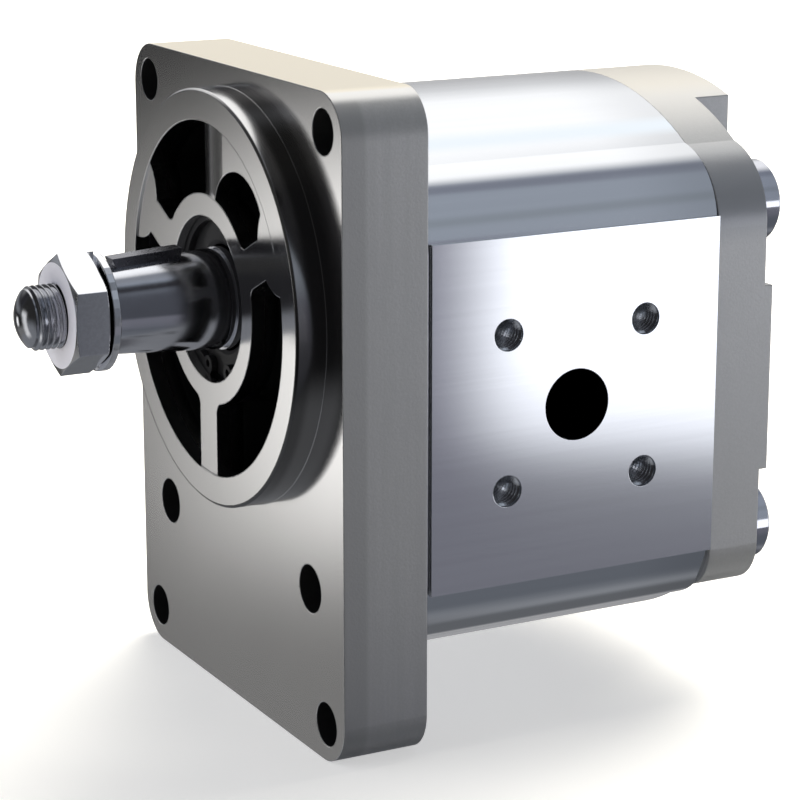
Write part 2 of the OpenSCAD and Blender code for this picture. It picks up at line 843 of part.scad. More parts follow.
// Four socket head screws that hold the rear cover and the body to the flange
module cover_screws() {
    color(steel)
    at_screws()
        difference() {
            turned()
                polygon([[0, -head_y0 - head_h], [head_d / 2 - small_chamfer, -head_y0 - head_h],
                    [head_d / 2, -head_y0 - head_h + small_chamfer], [head_d / 2, -head_y0],
                    [screw_d / 2, -head_y0], [screw_d / 2, -flange_t - 1.5],
                    [screw_core_d / 2, -flange_t - 0.3], [screw_core_d / 2, -screw_tip - small_chamfer],
                    [screw_core_d / 2 - small_chamfer, -screw_tip], [0, -screw_tip]]);
            translate([0, head_y0 + head_h + eps, 0])
                rotate([90, 0, 0])
                    cylinder(r = socket_af / sqrt(3), h = socket_depth + eps, $fn = 6);
        }
}

// Two dowel pins in each joint of the housing
module dowel_pins() {
    color(steel)
    for (sx = [-1, 1], y = [body_y0, body_y1])
        bar(dowel_d / 2, y - dowel_len / 2 + dowel_gap, y + dowel_len / 2 - dowel_gap, sx * dowel_x, mid_z);
}

front_cover();
body();
rear_cover();
drive_gear();
driven_gear();
front_bearing_block();
rear_bearing_block();
front_drive_bush();
front_driven_bush();
rear_drive_bush();
rear_driven_bush();
front_pressure_seal();
rear_pressure_seal();
front_backup_ring();
rear_backup_ring();
front_body_seal();
rear_body_seal();
shaft_seal();
seal_spring();
seal_retaining_ring();
woodruff_key();
spring_washer();
shaft_nut();
cover_screws();
dowel_pins();
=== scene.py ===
"""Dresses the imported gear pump: metal finishes, cut threads, a plain studio and the camera."""

import math

import bmesh
import bpy
from mathutils import Matrix, Vector


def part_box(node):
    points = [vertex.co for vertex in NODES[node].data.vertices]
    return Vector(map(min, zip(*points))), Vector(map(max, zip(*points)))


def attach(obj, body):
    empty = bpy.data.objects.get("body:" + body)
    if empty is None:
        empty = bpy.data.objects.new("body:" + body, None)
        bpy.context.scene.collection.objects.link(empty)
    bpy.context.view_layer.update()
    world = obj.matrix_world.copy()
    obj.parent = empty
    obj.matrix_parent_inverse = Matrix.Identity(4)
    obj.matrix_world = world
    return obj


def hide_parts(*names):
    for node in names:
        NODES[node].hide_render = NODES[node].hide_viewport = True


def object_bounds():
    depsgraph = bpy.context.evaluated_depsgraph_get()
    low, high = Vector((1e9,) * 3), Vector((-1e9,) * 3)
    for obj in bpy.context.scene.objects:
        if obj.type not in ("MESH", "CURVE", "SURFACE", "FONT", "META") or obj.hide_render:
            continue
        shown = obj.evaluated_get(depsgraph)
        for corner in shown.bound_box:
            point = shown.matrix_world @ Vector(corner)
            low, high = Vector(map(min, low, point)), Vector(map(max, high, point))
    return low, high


bl_info = {
    "name": "Gear pump looks",
    "version": (1, 0, 0),
    "blender": (4, 5, 0),
    "location": "View3D > Sidebar > Pump",
    "description": "Finishes, threads and studio for the packed gear pump",
    "category": "Object",
}

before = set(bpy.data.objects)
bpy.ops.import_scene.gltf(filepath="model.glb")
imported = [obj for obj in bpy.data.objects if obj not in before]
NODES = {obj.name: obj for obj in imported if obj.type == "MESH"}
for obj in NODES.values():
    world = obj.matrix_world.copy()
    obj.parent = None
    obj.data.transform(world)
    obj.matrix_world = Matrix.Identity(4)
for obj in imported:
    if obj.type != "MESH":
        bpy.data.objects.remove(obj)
CAD_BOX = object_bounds()
EFFECTS = {}

# Places in the frame, in metres: the pump's front looks along -y, its shaft lies at x = z = 0

UP = Vector((0, 0, 1))
FORWARD = Vector((0, -1, 0))
PORT_Y, PORT_Z = 0.0642, -0.022  # middle of both port faces
PORT_FACE_X = 0.06025  # the milled port faces lie beyond this |x|
# painted shade fills the port holes
PORT_HOLE_X = 0.0601  # the dark port holes lie within this |x|
PORT_HOLE_R = (0.0092, 0.0137)  # pressure side, suction side
TAP_STEP = 0.01945  # from a port's middle to its tapped holes, along y and along z
TAP_START = 0.0006  # how far below its port face a tapped hole's thread starts
MOUNT_HOLES = {"Middle_Z": -0.0241, "Half_X": 0.051, "Half_Z": 0.0725, "Radius": 0.0056}
SCREW_HOLES = {"Middle_Z": -0.0645, "Half_X": 0.0425, "Half_Z": 0.0, "Radius": 0.0061}
# holes of the flange get painted shade from this depth on
HOLE_START = 0.0002  # depth from which a hole of the flange looks dark
FRONT_SKIN = 0.00005  # what lies before this depth of the flange's plane is turned or milled
POCKET_R = 0.0452  # pockets of the pilot
PILOT_WALL_R = 0.0517  # outer wall of the pilot
SPINE_HALF_X, SPINE_RISE = 0.0263, 0.0103  # spine at the back of the rear cover
STUB_GAP = 0.0012  # the plain shaft ends this far behind the nut's front
THREAD_START = 0.0014  # the cut thread starts this far behind the nut's front
THREAD_CHAMFER = 0.001  # at 45 degrees, before the dome
DOME_INSET = 0.0008  # between the thread's crest and the dome's brim
DOME_SINK = 0.0014  # how far the dome's skirt reaches into the thread

# Where tones change, as (start, end) in metres; the first two count from the flange's top

FLANGE_SHOULDER = (-0.0028, -0.0012)
FLANGE_TOP = (-0.0006, -0.0001)
FLANGE_STRIP = (0.0055, 0.0072)
POCKET_DEPTH = (-0.0072, 0.001)
WALL_SHADE_Z = (-0.005, 0.032)
WALL_SHADE_Y = (-0.0055, -0.003)
COVER_SHOULDER = (0.037, 0.0478)
COVER_TOP = (0.0455, 0.0485)
COVER_BAND = ((0.012, 0.022), (0.032, 0.038))
BODY_REAR_SHADE = (0.078, 0.106)
BODY_REFLECTION_STRIPE = ((0.0325, 0.0370), (0.0375, 0.0415))
BODY_MATT = (-0.056, -0.046)

# Tones of spots that differ from the metal round them, among them painted shade, painted light and
# painted reflections

POCKET_SHADE_TONE = (0.012, 0.013, 0.014, 1.0)
HOLE_SHADE_TONE = (0.03, 0.03, 0.032, 1.0)
PORT_SHADE_TONE = (0.012, 0.012, 0.013, 1.0)
# painted highlight along the flange's top edge
FLANGE_HIGHLIGHT_TONE = (0.74, 0.74, 0.75, 1.0)
COVER_SHOULDER_LIGHT_TONE = (0.66, 0.655, 0.65, 1.0)
COVER_TOP_LIGHT_TONE = (0.69, 0.665, 0.62, 1.0)
COVER_SHADE_TONE = (0.31, 0.325, 0.36, 1.0)
REFLECTION_STRIPE_TONE = (0.77, 0.83, 0.89, 1.0)
NUT_FACE_TONE = (0.88, 0.88, 0.99, 1.0)
KEY_TONE = (0.34, 0.34, 0.37)
BLOCK_TONE = (0.62, 0.62, 0.60)
BRONZE_TONE = (0.50, 0.36, 0.20)
PLASTIC_TONE = (0.72, 0.70, 0.62)

# One turn of a thread, as (1 on the crest or 0 at the root, share of the pitch)

PORT_THREAD = ((0, 0), (1, 0.42), (1, 0.56), (0, 0.97), (0, 1))
PORT_THREAD_CUT = 0.0006
SHAFT_THREAD = ((0, 0), (0, 0.1), (1, 0.44), (1, 0.56), (0, 0.9), (0, 1))
SHAFT_THREAD_CUT = 0.6  # share of the pitch

# Studio: sizes in metres, tones as linear colours

AIM = Vector((0, 0.06, -0.02))
LAMP_DISTANCE = 1.5
TENT_RADIUS = 30.0
FLOOR_HALF = 6.0
FLOOR_TONE = (0.86, 0.86, 0.86, 1.0)
FLOOR_LIFT = 0.5  # glow that only the camera, gloss and glass see
TENT_TONE = (0.24, 0.25, 0.27, 1.0)
# Azimuth, elevation, half width, half height, side blur, end blur in degrees, then the colour
WINDOWS = (
    (60, 34, 48, 36, 10, 8, (0.305, 0.337, 0.39)),
    (84, 62, 14, 9, 7, 5, (0.206, 0.222, 0.27)),
    (36, 29.6, 12, 5, 6, 4, (0.256, 0.285, 0.323)),
    (325, 20, 50, 58, 8, 12, (0.018, 0.018, 0.02)),
    (262, 40, 40, 50, 12, 12, (0.03, 0.03, 0.03)),
    (240, -15, 9, 20, 3, 5, (1.0, 1.0, 1.0)),
    (208, 25, 22, 20, 8, 5, (0.03, 0.03, 0.035)),
    (205, -22.5, 30, 7, 8, 3, (0.214, 0.214, 0.214)),
    (205, -11.2, 30, 8, 8, 3, (0.01, 0.01, 0.01)),
    (209.8, -13.25, 5, 4.3, 0.7, 1.7, (1.6, 1.59, 1.57)),
    (180, -14, 17, 12, 5, 3, (0.07, 0.07, 0.07)),
    (142, 5, 36, 14, 6, 9, (0.52, 0.52, 0.53)),
    (153, 47.9, 46, 28.3, 17, 13.8, (1.14, 1.14, 1.14)),
    (8, 0, 15, 75, 4, 6, (0.07, 0.074, 0.088)),
    (6, 60, 31, 13, 6, 6, (0.03, 0.03, 0.035)),
    (27.3, -6, 3, 14, 1.5, 4, (0.18, 0.178, 0.225)),
    (100, -77, 90, 13, 10, 4, (0.09, 0.09, 0.1)),
    (60, -6.5, 30.1, 9, 1.2, 0.6, (1.54, 1.57, 1.66)),
    (45, -28.2, 40, 12.5, 8, 3, (0.168, 0.17, 0.199)),
    (50, -45, 30, 14, 12, 8, (0.12, 0.13, 0.15)),
    (140, -22, 40, 16, 12, 8, (0.36, 0.36, 0.37)),
    (142, -54, 40, 17, 12, 5, (0.12, 0.125, 0.135)),
)


# Properties


class PumpFinish(bpy.types.PropertyGroup):
    """Colours of the metals and rubbers"""

    cast: bpy.props.FloatVectorProperty(
        name="Cast alloy", description="Blasted cast sides of the flange and the rear cover",
        subtype="COLOR", default=(0.437, 0.447, 0.468), min=0, max=1)
    # painted light that makes the flange's top paler than its cast sides
    top_light: bpy.props.FloatVectorProperty(
        name="Painted top light", description="Paler upper sides of the castings",
        subtype="COLOR", default=(0.77, 0.72, 0.62), min=0, max=1)
    machined: bpy.props.FloatVectorProperty(
        name="Machined alloy", description="Turned and milled faces of the flange and the pilot",
        subtype="COLOR", default=(0.84, 0.83, 0.82), min=0, max=1)
    extruded: bpy.props.FloatVectorProperty(
        name="Extruded alloy", description="Drawn profile of the pump body",
        subtype="COLOR", default=(0.88, 0.895, 0.92), min=0, max=1)
    steel: bpy.props.FloatVectorProperty(
        name="Shaft steel", description="Ground shaft, key and gears",
        subtype="COLOR", default=(0.80, 0.81, 0.85), min=0, max=1)
    plated: bpy.props.FloatVectorProperty(
        name="Plated steel", description="Shaft nut and spring washer",
        subtype="COLOR", default=(0.94, 0.945, 0.97), min=0, max=1)
    screw: bpy.props.FloatVectorProperty(
        name="Screw steel", description="Oiled cover screws",
        subtype="COLOR", default=(0.70, 0.71, 0.76), min=0, max=1)
    rubber: bpy.props.FloatVectorProperty(
        name="Rubber", description="Shaft seal, pressure seals and body seals",
        subtype="COLOR", default=(0.018, 0.018, 0.02), min=0, max=1)


class PumpSizes(bpy.types.PropertyGroup):
    """Sizes of the cut threads"""

    shaft_thread_r: bpy.props.FloatProperty(
        name="Shaft thread radius", description="Crest radius of the shaft's thread",
        default=0.00796, unit="LENGTH")
    shaft_pitch: bpy.props.FloatProperty(
        name="Shaft thread pitch", description="Distance between turns on the shaft",
        default=0.0015, unit="LENGTH")
    dome_rise: bpy.props.FloatProperty(
        name="Dome height", description="Height of the shaft's domed end",
        default=0.0026, unit="LENGTH")
    port_thread_r: bpy.props.FloatProperty(
        name="Port thread radius", description="Root radius of the tapped port holes",
        default=0.00398, unit="LENGTH")
    port_pitch: bpy.props.FloatProperty(
        name="Port thread pitch", description="Distance between turns in the tapped port holes",
        default=0.00125, unit="LENGTH")


class PumpStudio(bpy.types.PropertyGroup):
    """Camera, lamps and floor"""

    camera_place: bpy.props.FloatVectorProperty(
        name="Camera", description="Where the camera stands",
        subtype="TRANSLATION", default=(0.60464, -0.27469, 0.14413))
    azimuth: bpy.props.FloatProperty(
        name="Azimuth", description="Turn of the camera about the vertical",
        subtype="ANGLE", default=math.radians(61.8065))
    elevation: bpy.props.FloatProperty(
        name="Elevation", description="Tilt of the camera",
        subtype="ANGLE", default=math.radians(14.0068))
    roll: bpy.props.FloatProperty(
        name="Roll", description="Roll of the camera",
        subtype="ANGLE", default=0.000648)
    lens: bpy.props.FloatProperty(
        name="Lens", description="Focal length on a 36 mm sensor", default=121.80)
    shift: bpy.props.FloatVectorProperty(
        name="Shift", description="Lens shift across and up", size=2, default=(-0.00877, -0.02703))
    key: bpy.props.FloatProperty(
        name="Key power", description="Power of the large softbox behind the pump",
        default=46.0, min=0)
    fill: bpy.props.FloatProperty(
        name="Fill power", description="Power of the softbox in front of the flange",
        default=6.0, min=0)
    ambient: bpy.props.FloatProperty(
        name="Ambient", description="Level of the light from all around", default=0.15, min=0)


# Helpers for shader nodes


def feed(tree, sockets, values):
    """Gives sockets their values: a socket as a value is linked, any other is set"""
    for key, value in values.items():
        if isinstance(value, bpy.types.NodeSocket):
            tree.links.new(value, sockets[key])
        else:
            sockets[key].default_value = value


def add(tree, kind, inputs=None, **settings):
    """Adds a node with its settings and its inputs"""
    node = tree.nodes.new(kind)
    for key, value in settings.items():
        setattr(node, key, value)
    feed(tree, node.inputs, inputs or {})
    return node


def math_node(tree, operation, *values, clamp=False):
    """One Math node's result"""
    node = add(tree, "ShaderNodeMath", dict(enumerate(values)), operation=operation)
    node.use_clamp = clamp
    return node.outputs[0]


def smooth_step(tree, value, low, high):
    """0 below low and 1 above high, with a soft change between them"""
    node = add(tree, "ShaderNodeMapRange", {"Value": value, "From Min": low, "From Max": high},
               interpolation_type="SMOOTHSTEP")
    return node.outputs["Result"]


def fade_out(tree, value, low, high):
    """1 below low and 0 above high, with a soft change between them"""
    return math_node(tree, "SUBTRACT", 1.0, smooth_step(tree, value, low, high))


def below(tree, value, limit):
    """Mask of what is less than a limit"""
    return math_node(tree, "LESS_THAN", value, limit)


def above(tree, value, limit):
    """Mask of what is greater than a limit"""
    return math_node(tree, "GREATER_THAN", value, limit)


def both(tree, a, b):
    """Mask of what is in two masks"""
    return math_node(tree, "MULTIPLY", a, b)


def either(tree, a, b):
    """Mask of what is in one of two masks"""
    return math_node(tree, "MAXIMUM", a, b)


def distance(tree, a, b):
    """Length of the long side over two short sides"""
    return math_node(tree, "SQRT", math_node(
        tree, "ADD", math_node(tree, "POWER", a, 2.0), math_node(tree, "POWER", b, 2.0)))


def axes(tree, vector):
    """The x, y and z of a vector"""
    return add(tree, "ShaderNodeSeparateXYZ", {0: vector}).outputs


def seen_rays(tree):
    """Mask of the rays of the camera, of gloss and of glass"""
    rays = add(tree, "ShaderNodeLightPath").outputs
    mirrored = math_node(tree, "ADD", rays["Is Glossy Ray"], rays["Is Transmission Ray"])
    return math_node(tree, "ADD", rays["Is Camera Ray"], mirrored, clamp=True)


def mix_colour(tree, factor, a, b):
    """Colour a where the factor is 0 and b where it is 1"""
    node = add(tree, "ShaderNodeMix", {0: factor, 6: a, 7: b}, data_type="RGBA")
    return node.outputs[2]


def mix_value(tree, factor, a, b):
    """Value a where the factor is 0 and b where it is 1"""
    return add(tree, "ShaderNodeMix", {0: factor, 2: a, 3: b}).outputs[0]


def rgba(colour, gain=1.0):
    """A colour property as the four numbers of a socket"""
    return (*(min(1.0, c * gain) for c in colour), 1.0)


def effect(name, inputs, outputs, build):
    """A node group with named sockets; build(tree, group inputs) returns its results by name"""
    group = bpy.data.node_groups.new(name, "ShaderNodeTree")
    for label, kind, value in inputs:
        socket = group.interface.new_socket(label, in_out="INPUT", socket_type=kind)
        if value is not None:
            socket.default_value = value
    for label, kind in outputs:
        group.interface.new_socket(label, in_out="OUTPUT", socket_type=kind)
    start = group.nodes.new("NodeGroupInput")
    end = group.nodes.new("NodeGroupOutput")
    for label, socket in build(group, start.outputs).items():
        group.links.new(socket, end.inputs[label])
    return group


def spaced(values):
    """Names of sockets, in which underscores stand for blanks"""
    return {key.replace("_", " "): value for key, value in values.items()}


def use(tree, group, **values):
    """Places an effect in a material"""
    node = add(tree, "ShaderNodeGroup", node_tree=group)
    feed(tree, node.inputs, spaced(values))
    return node.outputs


def material(name):
    """A new node material with its Principled shader and the object's own coordinates"""
    made = bpy.data.materials.new(name)
    made.use_nodes = True
    tree = made.node_tree
    shader = tree.nodes["Principled BSDF"]
    place = add(tree, "ShaderNodeTexCoord").outputs["Object"]
    return made, tree, shader, place


def blank(data):
    """The emptied node tree of a material or world"""
    data.use_nodes = True
    data.node_tree.nodes.clear()
    return data.node_tree


def wire(tree, shader, **values):
    """Sets or links inputs of the Principled shader"""
    feed(tree, shader.inputs, spaced(values))


def relief(tree, height, depth, edge):
    """Normal of a surface with rounded edges of radius edge and a pattern depth metres deep"""
    soft = add(tree, "ShaderNodeBevel", {"Radius": edge}, samples=6).outputs[0]
    return add(tree, "ShaderNodeBump", {"Height": height, "Distance": depth, "Normal": soft}).outputs[0]


def dress(node, made):
    """Gives a CAD node's object its finish"""
    slot = NODES[node].material_slots[0]
    slot.link = "OBJECT"
    slot.material = made


# Effects that several finishes share


def build_effects():
    """Node groups for grain, drawn lines, drift, round holes and the studio's soft windows"""

    def grain(tree, given):
        fine = add(tree, "ShaderNodeTexNoise", {"Vector": given["Vector"], "Scale": given["Scale"],
                                                "Detail": 3.0, "Roughness": 0.6}).outputs[0]
        pits = add(tree, "ShaderNodeTexVoronoi", {"Vector": given["Vector"], "Scale": given["Scale"]},
                   feature="SMOOTH_F1").outputs["Distance"]
        height = math_node(tree, "ADD", fine, math_node(tree, "MULTIPLY", pits, 0.5))
        return {"Height": height, "Speckle": smooth_step(tree, fine, 0.3, 0.7)}

    def lines(tree, given):
        stretched = add(tree, "ShaderNodeVectorMath", {0: given["Vector"], 1: given["Stretch"]},
                        operation="MULTIPLY").outputs[0]
        fine = add(tree, "ShaderNodeTexNoise", {"Vector": stretched, "Scale": given["Scale"],
                                                "Detail": 4.0, "Roughness": 0.65}).outputs[0]
        return {"Height": fine, "Band": smooth_step(tree, fine, 0.35, 0.65)}

    def rings(tree, given):
        x, y, z = axes(tree, given["Vector"])
        reach = distance(tree, x, z)
        line = add(tree, "ShaderNodeCombineXYZ", {0: reach, 1: math_node(tree, "MULTIPLY", y, 0.3)})
        fine = add(tree, "ShaderNodeTexNoise", {"Vector": line.outputs[0], "Scale": given["Scale"],
                                                "Detail": 3.0, "Roughness": 0.7}).outputs[0]
        return {"Height": fine, "Reach": reach}

    def drift(tree, given):
        slow = add(tree, "ShaderNodeTexNoise", {"Vector": given["Vector"], "Scale": given["Scale"],
                                                "Detail": 2.0}).outputs[0]
        return {"Drift": smooth_step(tree, slow, 0.3, 0.7)}

    def hole(tree, given):
        x, y, z = axes(tree, given["Vector"])
        side = math_node(tree, "ABSOLUTE", x)
        rise = math_node(tree, "ABSOLUTE", math_node(tree, "SUBTRACT", z, given["Middle Z"]))
        away = distance(tree, math_node(tree, "SUBTRACT", side, given["Half X"]),
                        math_node(tree, "SUBTRACT", rise, given["Half Z"]))
        return {"Mask": both(tree, below(tree, away, given["Radius"]), above(tree, y, given["Start"]))}

    def window(tree, given):
        back = math_node(tree, "MULTIPLY", given["Azimuth"], -1.0)
        turned = add(tree, "ShaderNodeVectorRotate", {"Vector": given["Direction"], "Angle": back},
                     rotation_type="Z_AXIS").outputs[0]
        x, y, z = axes(tree, turned)
        turn = math_node(tree, "ABSOLUTE", math_node(tree, "ARCTAN2", y, x))
        tilt = math_node(tree, "ABSOLUTE", math_node(
            tree, "SUBTRACT", math_node(tree, "ARCSINE", z), given["Elevation"]))
        masks = []
        for value, half, soft in ((turn, "Half width", "Side blur"), (tilt, "Half height", "End blur")):
            low = math_node(tree, "SUBTRACT", given[half], given[soft])
            high = math_node(tree, "ADD", given[half], given[soft])
            masks.append(fade_out(tree, value, low, high))
        return {"Mask": both(tree, *masks)}

    vector, value = "NodeSocketVector", "NodeSocketFloat"
    return {
        "grain": effect("Cast grain", [("Vector", vector, None), ("Scale", value, 900.0)],
                        [("Height", value), ("Speckle", value)], grain),
        "lines": effect("Drawn lines", [("Vector", vector, None), ("Stretch", vector, (1, 1, 1)),
                                        ("Scale", value, 600.0)],
                        [("Height", value), ("Band", value)], lines),
        "rings": effect("Turned rings", [("Vector", vector, None), ("Scale", value, 1500.0)],
                        [("Height", value), ("Reach", value)], rings),
        "drift": effect("Tone drift", [("Vector", vector, None), ("Scale", value, 14.0)],
                        [("Drift", value)], drift),
        "hole": effect("Round holes", [("Vector", vector, None), ("Middle Z", value, 0.0),
                                       ("Half X", value, 0.0), ("Half Z", value, 0.0),
                                       ("Radius", value, 0.005), ("Start", value, 0.0)],
                       [("Mask", value)], hole),
        "window": effect("Soft window", [("Direction", vector, None), ("Azimuth", value, 0.0),
                                         ("Elevation", value, 0.0), ("Half width", value, 0.2),
                                         ("Half height", value, 0.2), ("Side blur", value, 0.05),
                                         ("End blur", value, 0.05)], [("Mask", value)], window),
    }


# Finishes


def cast_parts(tree, place, finish):
    """Colour and grain height of blasted cast alloy"""
    grain = use(tree, EFFECTS["grain"], Vector=place, Scale=1500.0)
    drift = use(tree, EFFECTS["drift"], Vector=place, Scale=22.0)["Drift"]
    tone = mix_colour(tree, grain["Speckle"], rgba(finish.cast, 0.96), rgba(finish.cast, 1.04))
    tone = mix_colour(tree, math_node(tree, "MULTIPLY", drift, 0.5), tone, rgba(finish.cast, 0.92))
    return tone, grain["Height"]


def flange_metal(scene):
    """Front cover: turned and milled front, cast pockets with painted shade that deepens inwards,
    blasted cast sides
    """
    made, tree, shader, place = material("flange metal")
    finish = scene.finish
    _, y, z = axes(tree, place)
    rings = use(tree, EFFECTS["rings"], Vector=place, Scale=1800.0)
    front = below(tree, y, FRONT_SKIN)

    # blasted sides: streaks, a darker strip beside the front, a painted highlight on the shoulder and
    # painted light on the top
    colour, height = cast_parts(tree, place, finish)
    streaks = use(tree, EFFECTS["lines"], Vector=place, Stretch=(1.0, 1.0, 0.04), Scale=450.0)["Band"]
    streaks = math_node(tree, "MULTIPLY", streaks, 0.5)
    colour = mix_colour(tree, streaks, colour, rgba(finish.cast, 0.9))
    colour = mix_colour(tree, fade_out(tree, y, *FLANGE_STRIP), colour, rgba(finish.cast, 0.8))
    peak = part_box("front_cover")[1].z
    # painted highlight on the rounding of the top edge, then painted light on the flat top
    shoulder = smooth_step(tree, z, *(peak + rise for rise in FLANGE_SHOULDER))
    top = smooth_step(tree, z, *(peak + rise for rise in FLANGE_TOP))
    colour = mix_colour(tree, shoulder, colour, FLANGE_HIGHLIGHT_TONE)
    colour = mix_colour(tree, top, colour, rgba(finish.top_light))

    # turned and milled front, and the pilot's wall with painted shade, darker towards its bottom and
    # towards the back
    drift = use(tree, EFFECTS["drift"], Vector=place, Scale=16.0)["Drift"]
    bright = mix_colour(tree, drift, rgba(finish.machined, 0.96), rgba(finish.machined))
    wall = both(tree, above(tree, rings["Reach"], PILOT_WALL_R), below(tree, y, -FRONT_SKIN))
    # painted shade on the pilot's wall: dark low down and behind its front edge, pale only near the top
    # at the front
    wall_shade = mix_colour(tree, smooth_step(tree, z, *WALL_SHADE_Z), rgba(finish.machined, 0.18),
                       rgba(finish.machined, 0.95))
    wall_shade = mix_colour(tree, smooth_step(tree, y, *WALL_SHADE_Y), wall_shade, rgba(finish.machined, 0.3))
    colour = mix_colour(tree, front, colour, bright)
    colour = mix_colour(tree, wall, colour, wall_shade)

    # painted shade in the pockets and the drilled holes
    pocket_shade = both(tree, below(tree, rings["Reach"], POCKET_R), smooth_step(tree, y, *POCKET_DEPTH))
    mounts = use(tree, EFFECTS["hole"], Vector=place, Start=HOLE_START, **MOUNT_HOLES)["Mask"]
    screws = use(tree, EFFECTS["hole"], Vector=place, Start=HOLE_START, **SCREW_HOLES)["Mask"]
    drilled = math_node(tree, "ADD", mounts, screws, clamp=True)
    colour = mix_colour(tree, pocket_shade, colour, POCKET_SHADE_TONE)
    colour = mix_colour(tree, drilled, colour, HOLE_SHADE_TONE)

    shade = either(tree, drilled, pocket_shade)
    turned = either(tree, front, wall)
    rough = mix_value(tree, front, mix_value(tree, wall, 0.32, 0.09), 0.17)
    rough = mix_value(tree, shade, rough, 0.42)
    blasted = math_node(tree, "SUBTRACT", 1.0, either(tree, turned, shade))
    bumps = mix_value(tree, blasted, math_node(tree, "MULTIPLY", rings["Height"], 0.02), height)
    wire(tree, shader, Base_Color=colour, Roughness=rough, Metallic=mix_value(tree, turned, 0.5, 1.0),
         Normal=relief(tree, bumps, depth=0.000018, edge=0.0004))
    return made


def cover_metal(scene):
    """Rear cover: blasted cast alloy with painted light on its shoulders and top and a strip of painted
    shade across its upper sides
    """
    made, tree, shader, place = material("cover metal")
    colour, height = cast_parts(tree, place, scene.finish)
    x, y, z = axes(tree, place)
    beside_spine = both(tree, above(tree, y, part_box("rear_cover")[1].y - SPINE_RISE),
                        above(tree, math_node(tree, "ABSOLUTE", x), SPINE_HALF_X))
    plain = math_node(tree, "SUBTRACT", 1.0, beside_spine)
    # painted light on the shoulders and the top, except beside the spine
    for span, tone in ((COVER_SHOULDER, COVER_SHOULDER_LIGHT_TONE), (COVER_TOP, COVER_TOP_LIGHT_TONE)):
        colour = mix_colour(tree, both(tree, smooth_step(tree, z, *span), plain), colour, tone)
    # painted shade on a strip across the upper sides
    rise, fall = COVER_BAND
    shade_band = both(tree, smooth_step(tree, z, *rise), fade_out(tree, z, *fall))
    colour = mix_colour(tree, shade_band, colour, COVER_SHADE_TONE)
    wire(tree, shader, Base_Color=colour, Roughness=0.3, Metallic=0.5,
         Normal=relief(tree, height, depth=0.000018, edge=0.0005))
    return made


def body_metal(scene):
    """Pump body: profile with faint lines along it, painted shade at its rear end and in its ports, a
    painted reflection along its top, milled port faces, matt suction side
    """
    made, tree, shader, place = material("body metal")
    finish = scene.finish
    lines = use(tree, EFFECTS["lines"], Vector=place, Stretch=(1.0, 0.012, 1.0), Scale=420.0)
    x, y, z = axes(tree, place)
    side = math_node(tree, "ABSOLUTE", x)
    face = above(tree, side, PORT_FACE_X)

    # drawn profile with painted shade at the rear end and a faint blue painted reflection along each
    # side of the top
    colour = mix_colour(tree, lines["Band"], rgba(finish.extruded, 0.97), rgba(finish.extruded))
    # painted shade darkens the profile towards its rear end
    rear = both(tree, smooth_step(tree, y, *BODY_REAR_SHADE), below(tree, side, 0.06))
    colour = mix_colour(tree, rear, colour, rgba(finish.extruded, 0.82))
    rise, fall = BODY_REFLECTION_STRIPE
    reflection_stripe = both(tree, smooth_step(tree, side, *rise), fade_out(tree, side, *fall))
    colour = mix_colour(tree, both(tree, reflection_stripe, above(tree, z, 0.0)), colour, REFLECTION_STRIPE_TONE)
    matt = fade_out(tree, x, *BODY_MATT)
    colour = mix_colour(tree, matt, colour, rgba(finish.extruded, 0.72))

    # painted shade in the port holes
    away = distance(tree, math_node(tree, "SUBTRACT", y, PORT_Y), math_node(tree, "SUBTRACT", z, PORT_Z))
    reach = mix_value(tree, below(tree, x, 0.0), *PORT_HOLE_R)
    dark = both(tree, below(tree, away, reach), below(tree, side, PORT_HOLE_X))
    colour = mix_colour(tree, dark, colour, PORT_SHADE_TONE)

    rough = mix_value(tree, face, mix_value(tree, lines["Band"], 0.11, 0.15), 0.08)
    rough = mix_value(tree, matt, rough, 0.26)
    rough = mix_value(tree, dark, rough, 0.5)
    bumps = mix_value(tree, face, lines["Height"], 0.5)
    wire(tree, shader, Base_Color=colour, Roughness=rough, Metallic=mix_value(tree, matt, 1.0, 0.6),
         Normal=relief(tree, bumps, depth=0.000004, edge=0.00012))
    return made


def steel_metal(scene, name, colour, rough, stretch=(1.0, 1.0, 1.0), stub=-1.0):
    """Steel with fine grinding lines; in front of y = stub it is darker"""
    made, tree, shader, place = material(name)
    lines = use(tree, EFFECTS["lines"], Vector=place, Stretch=stretch, Scale=900.0)
    drift = use(tree, EFFECTS["drift"], Vector=place, Scale=60.0)["Drift"]
    tone = mix_colour(tree, drift, rgba(colour, 0.94), rgba(colour, 1.04))
    tone = mix_colour(tree, below(tree, axes(tree, place)[1], stub), tone, rgba(colour, 0.72))
    roughness = mix_value(tree, lines["Band"], rough * 0.85, rough * 1.15)
    wire(tree, shader, Base_Color=tone, Roughness=roughness, Metallic=1.0,
         Normal=relief(tree, lines["Height"], depth=0.000003, edge=0.0003))
    return made


def nut_metal(scene):
    """Plated nut whose turned front face is duller than its flats"""
    made, tree, shader, place = material("nut steel")
    plated = scene.finish.plated
    lines = use(tree, EFFECTS["lines"], Vector=place, Stretch=(1.0, 1.0, 1.0), Scale=900.0)
    face = below(tree, axes(tree, place)[1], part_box("shaft_nut")[0].y + 0.00003)
    tone = mix_colour(tree, lines["Band"], rgba(plated, 0.97), rgba(plated, 1.03))
    tone = mix_colour(tree, face, tone, NUT_FACE_TONE)
    wire(tree, shader, Base_Color=tone, Roughness=mix_value(tree, face, 0.09, 0.4),
         Metallic=mix_value(tree, face, 1.0, 0.0),
         Normal=relief(tree, lines["Height"], depth=0.000002, edge=0.0003))
    return made


